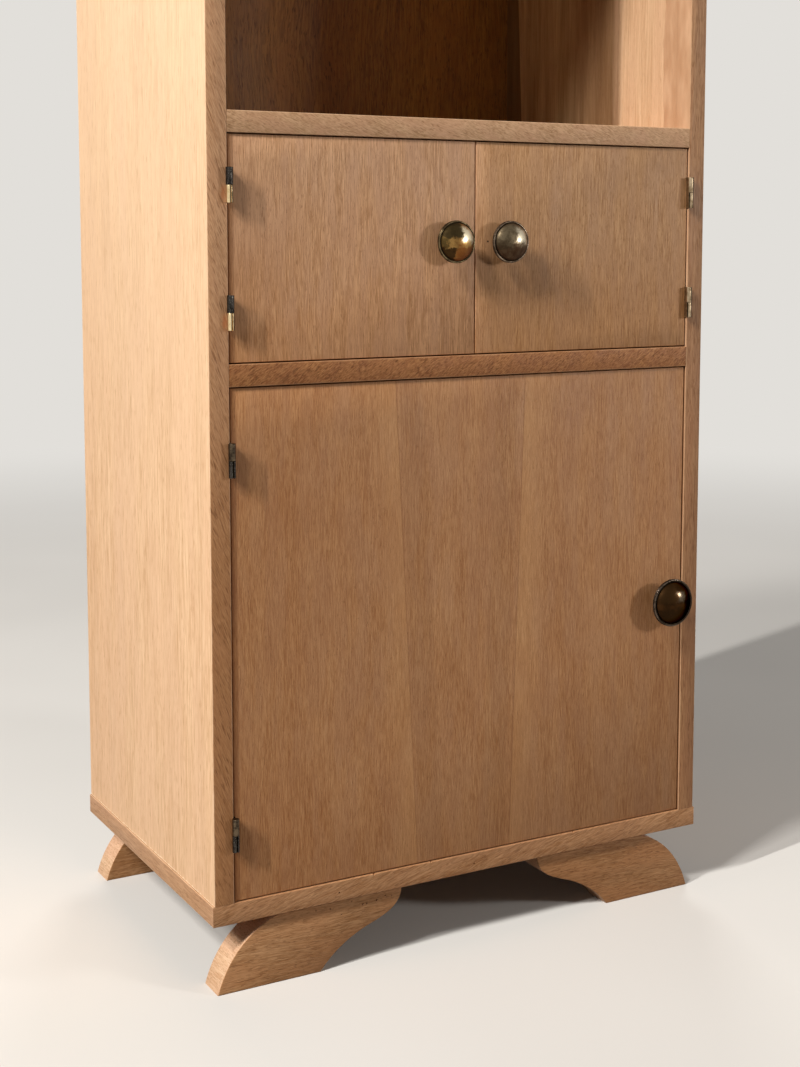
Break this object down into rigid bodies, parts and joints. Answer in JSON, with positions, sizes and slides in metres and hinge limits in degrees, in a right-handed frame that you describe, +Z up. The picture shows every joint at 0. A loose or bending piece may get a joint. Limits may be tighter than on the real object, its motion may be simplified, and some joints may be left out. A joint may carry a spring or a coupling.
{
  "type": "highboard",
  "caption": "Tall narrow oak cabinet with an open niche over small hinged doors over a large hinged door, domed brass knobs and sawn scroll feet.",
  "frame": {"origin": "on the floor, at the centre of the space that the cabinet takes in plan, knobs included", "axes": "+Z up, -Y out of the front with the doors, +X to the right as seen from the front"},
  "size_m": [0.543, 0.373, 1.2],
  "materials": {
    "carcass_oak": "waxed oak veneer with straight grain, satin",
    "door_oak": "waxed oak veneer with fine vertical pores, satin",
    "lipping_oak": "waxed solid oak, satin",
    "foot_oak": "waxed solid oak with sawn curves, satin",
    "inside_oak": "plain oak, matt",
    "aged_brass": "polished and aged",
    "dark_brass": "polished and darkened",
    "hinge_brass": "dull and tarnished",
    "spring_steel": "satin"
  },
  "bodies": {
    "carcass": {"side_panel_left": "carcass_oak", "side_panel_right": "carcass_oak", "side_lipping_left": "lipping_oak", "side_lipping_right": "lipping_oak", "bottom_panel": "carcass_oak", "bottom_lipping_front": "lipping_oak", "bottom_lipping_left": "lipping_oak", "bottom_lipping_right": "lipping_oak", "top_panel": "carcass_oak", "top_lipping_front": "lipping_oak", "top_lipping_left": "lipping_oak", "top_lipping_right": "lipping_oak", "middle_panel": "carcass_oak", "middle_lipping": "lipping_oak", "niche_floor_panel": "carcass_oak", "niche_floor_lipping": "lipping_oak", "back_panel": "inside_oak", "foot_front_left": "foot_oak", "foot_front_right": "foot_oak", "foot_rear_left": "foot_oak", "foot_rear_right": "foot_oak", "upper_door_stop": "inside_oak", "lower_door_stop": "inside_oak", "shelf": "inside_oak", "shelf_batten_left": "inside_oak", "shelf_batten_right": "inside_oak", "upper_left_catch_clip": "spring_steel", "upper_left_hinge_top_frame_leaf": "hinge_brass", "upper_left_hinge_top_pin": "hinge_brass", "upper_left_hinge_bottom_frame_leaf": "hinge_brass", "upper_left_hinge_bottom_pin": "hinge_brass", "upper_right_catch_clip": "spring_steel", "upper_right_hinge_top_frame_leaf": "hinge_brass", "upper_right_hinge_top_pin": "hinge_brass", "upper_right_hinge_bottom_frame_leaf": "hinge_brass", "upper_right_hinge_bottom_pin": "hinge_brass", "lower_catch_clip": "spring_steel", "lower_hinge_top_frame_leaf": "hinge_brass", "lower_hinge_top_pin": "hinge_brass", "lower_hinge_bottom_frame_leaf": "hinge_brass", "lower_hinge_bottom_pin": "hinge_brass"},
    "door_upper_left": {"upper_left_door": "door_oak", "upper_left_knob_body": "aged_brass", "upper_left_knob_dome": "aged_brass", "upper_left_catch_stud": "hinge_brass", "upper_left_hinge_top_door_leaf": "hinge_brass", "upper_left_hinge_bottom_door_leaf": "hinge_brass"},
    "door_upper_right": {"upper_right_door": "door_oak", "upper_right_knob_body": "aged_brass", "upper_right_knob_dome": "aged_brass", "upper_right_catch_stud": "hinge_brass", "upper_right_hinge_top_door_leaf": "hinge_brass", "upper_right_hinge_bottom_door_leaf": "hinge_brass"},
    "door_lower": {"lower_door": "door_oak", "lower_knob_body": "dark_brass", "lower_knob_dome": "dark_brass", "lower_catch_stud": "hinge_brass", "lower_hinge_top_door_leaf": "hinge_brass", "lower_hinge_bottom_door_leaf": "hinge_brass"}
  },
  "joints": [
    {"name": "upper_left_hinge", "type": "hinge", "parent": "carcass", "child": "door_upper_left", "pos_m": [-0.2504, -0.16205, 0.67], "axis": [0, 0, -1], "range_deg": [0, 180]},
    {"name": "upper_right_hinge", "type": "hinge", "parent": "carcass", "child": "door_upper_right", "pos_m": [0.2504, -0.16205, 0.67], "axis": [0, 0, 1], "range_deg": [0, 180]},
    {"name": "lower_hinge", "type": "hinge", "parent": "carcass", "child": "door_lower", "pos_m": [-0.2504, -0.16205, 0.3175], "axis": [0, 0, -1], "range_deg": [0, 180]}
  ]
}
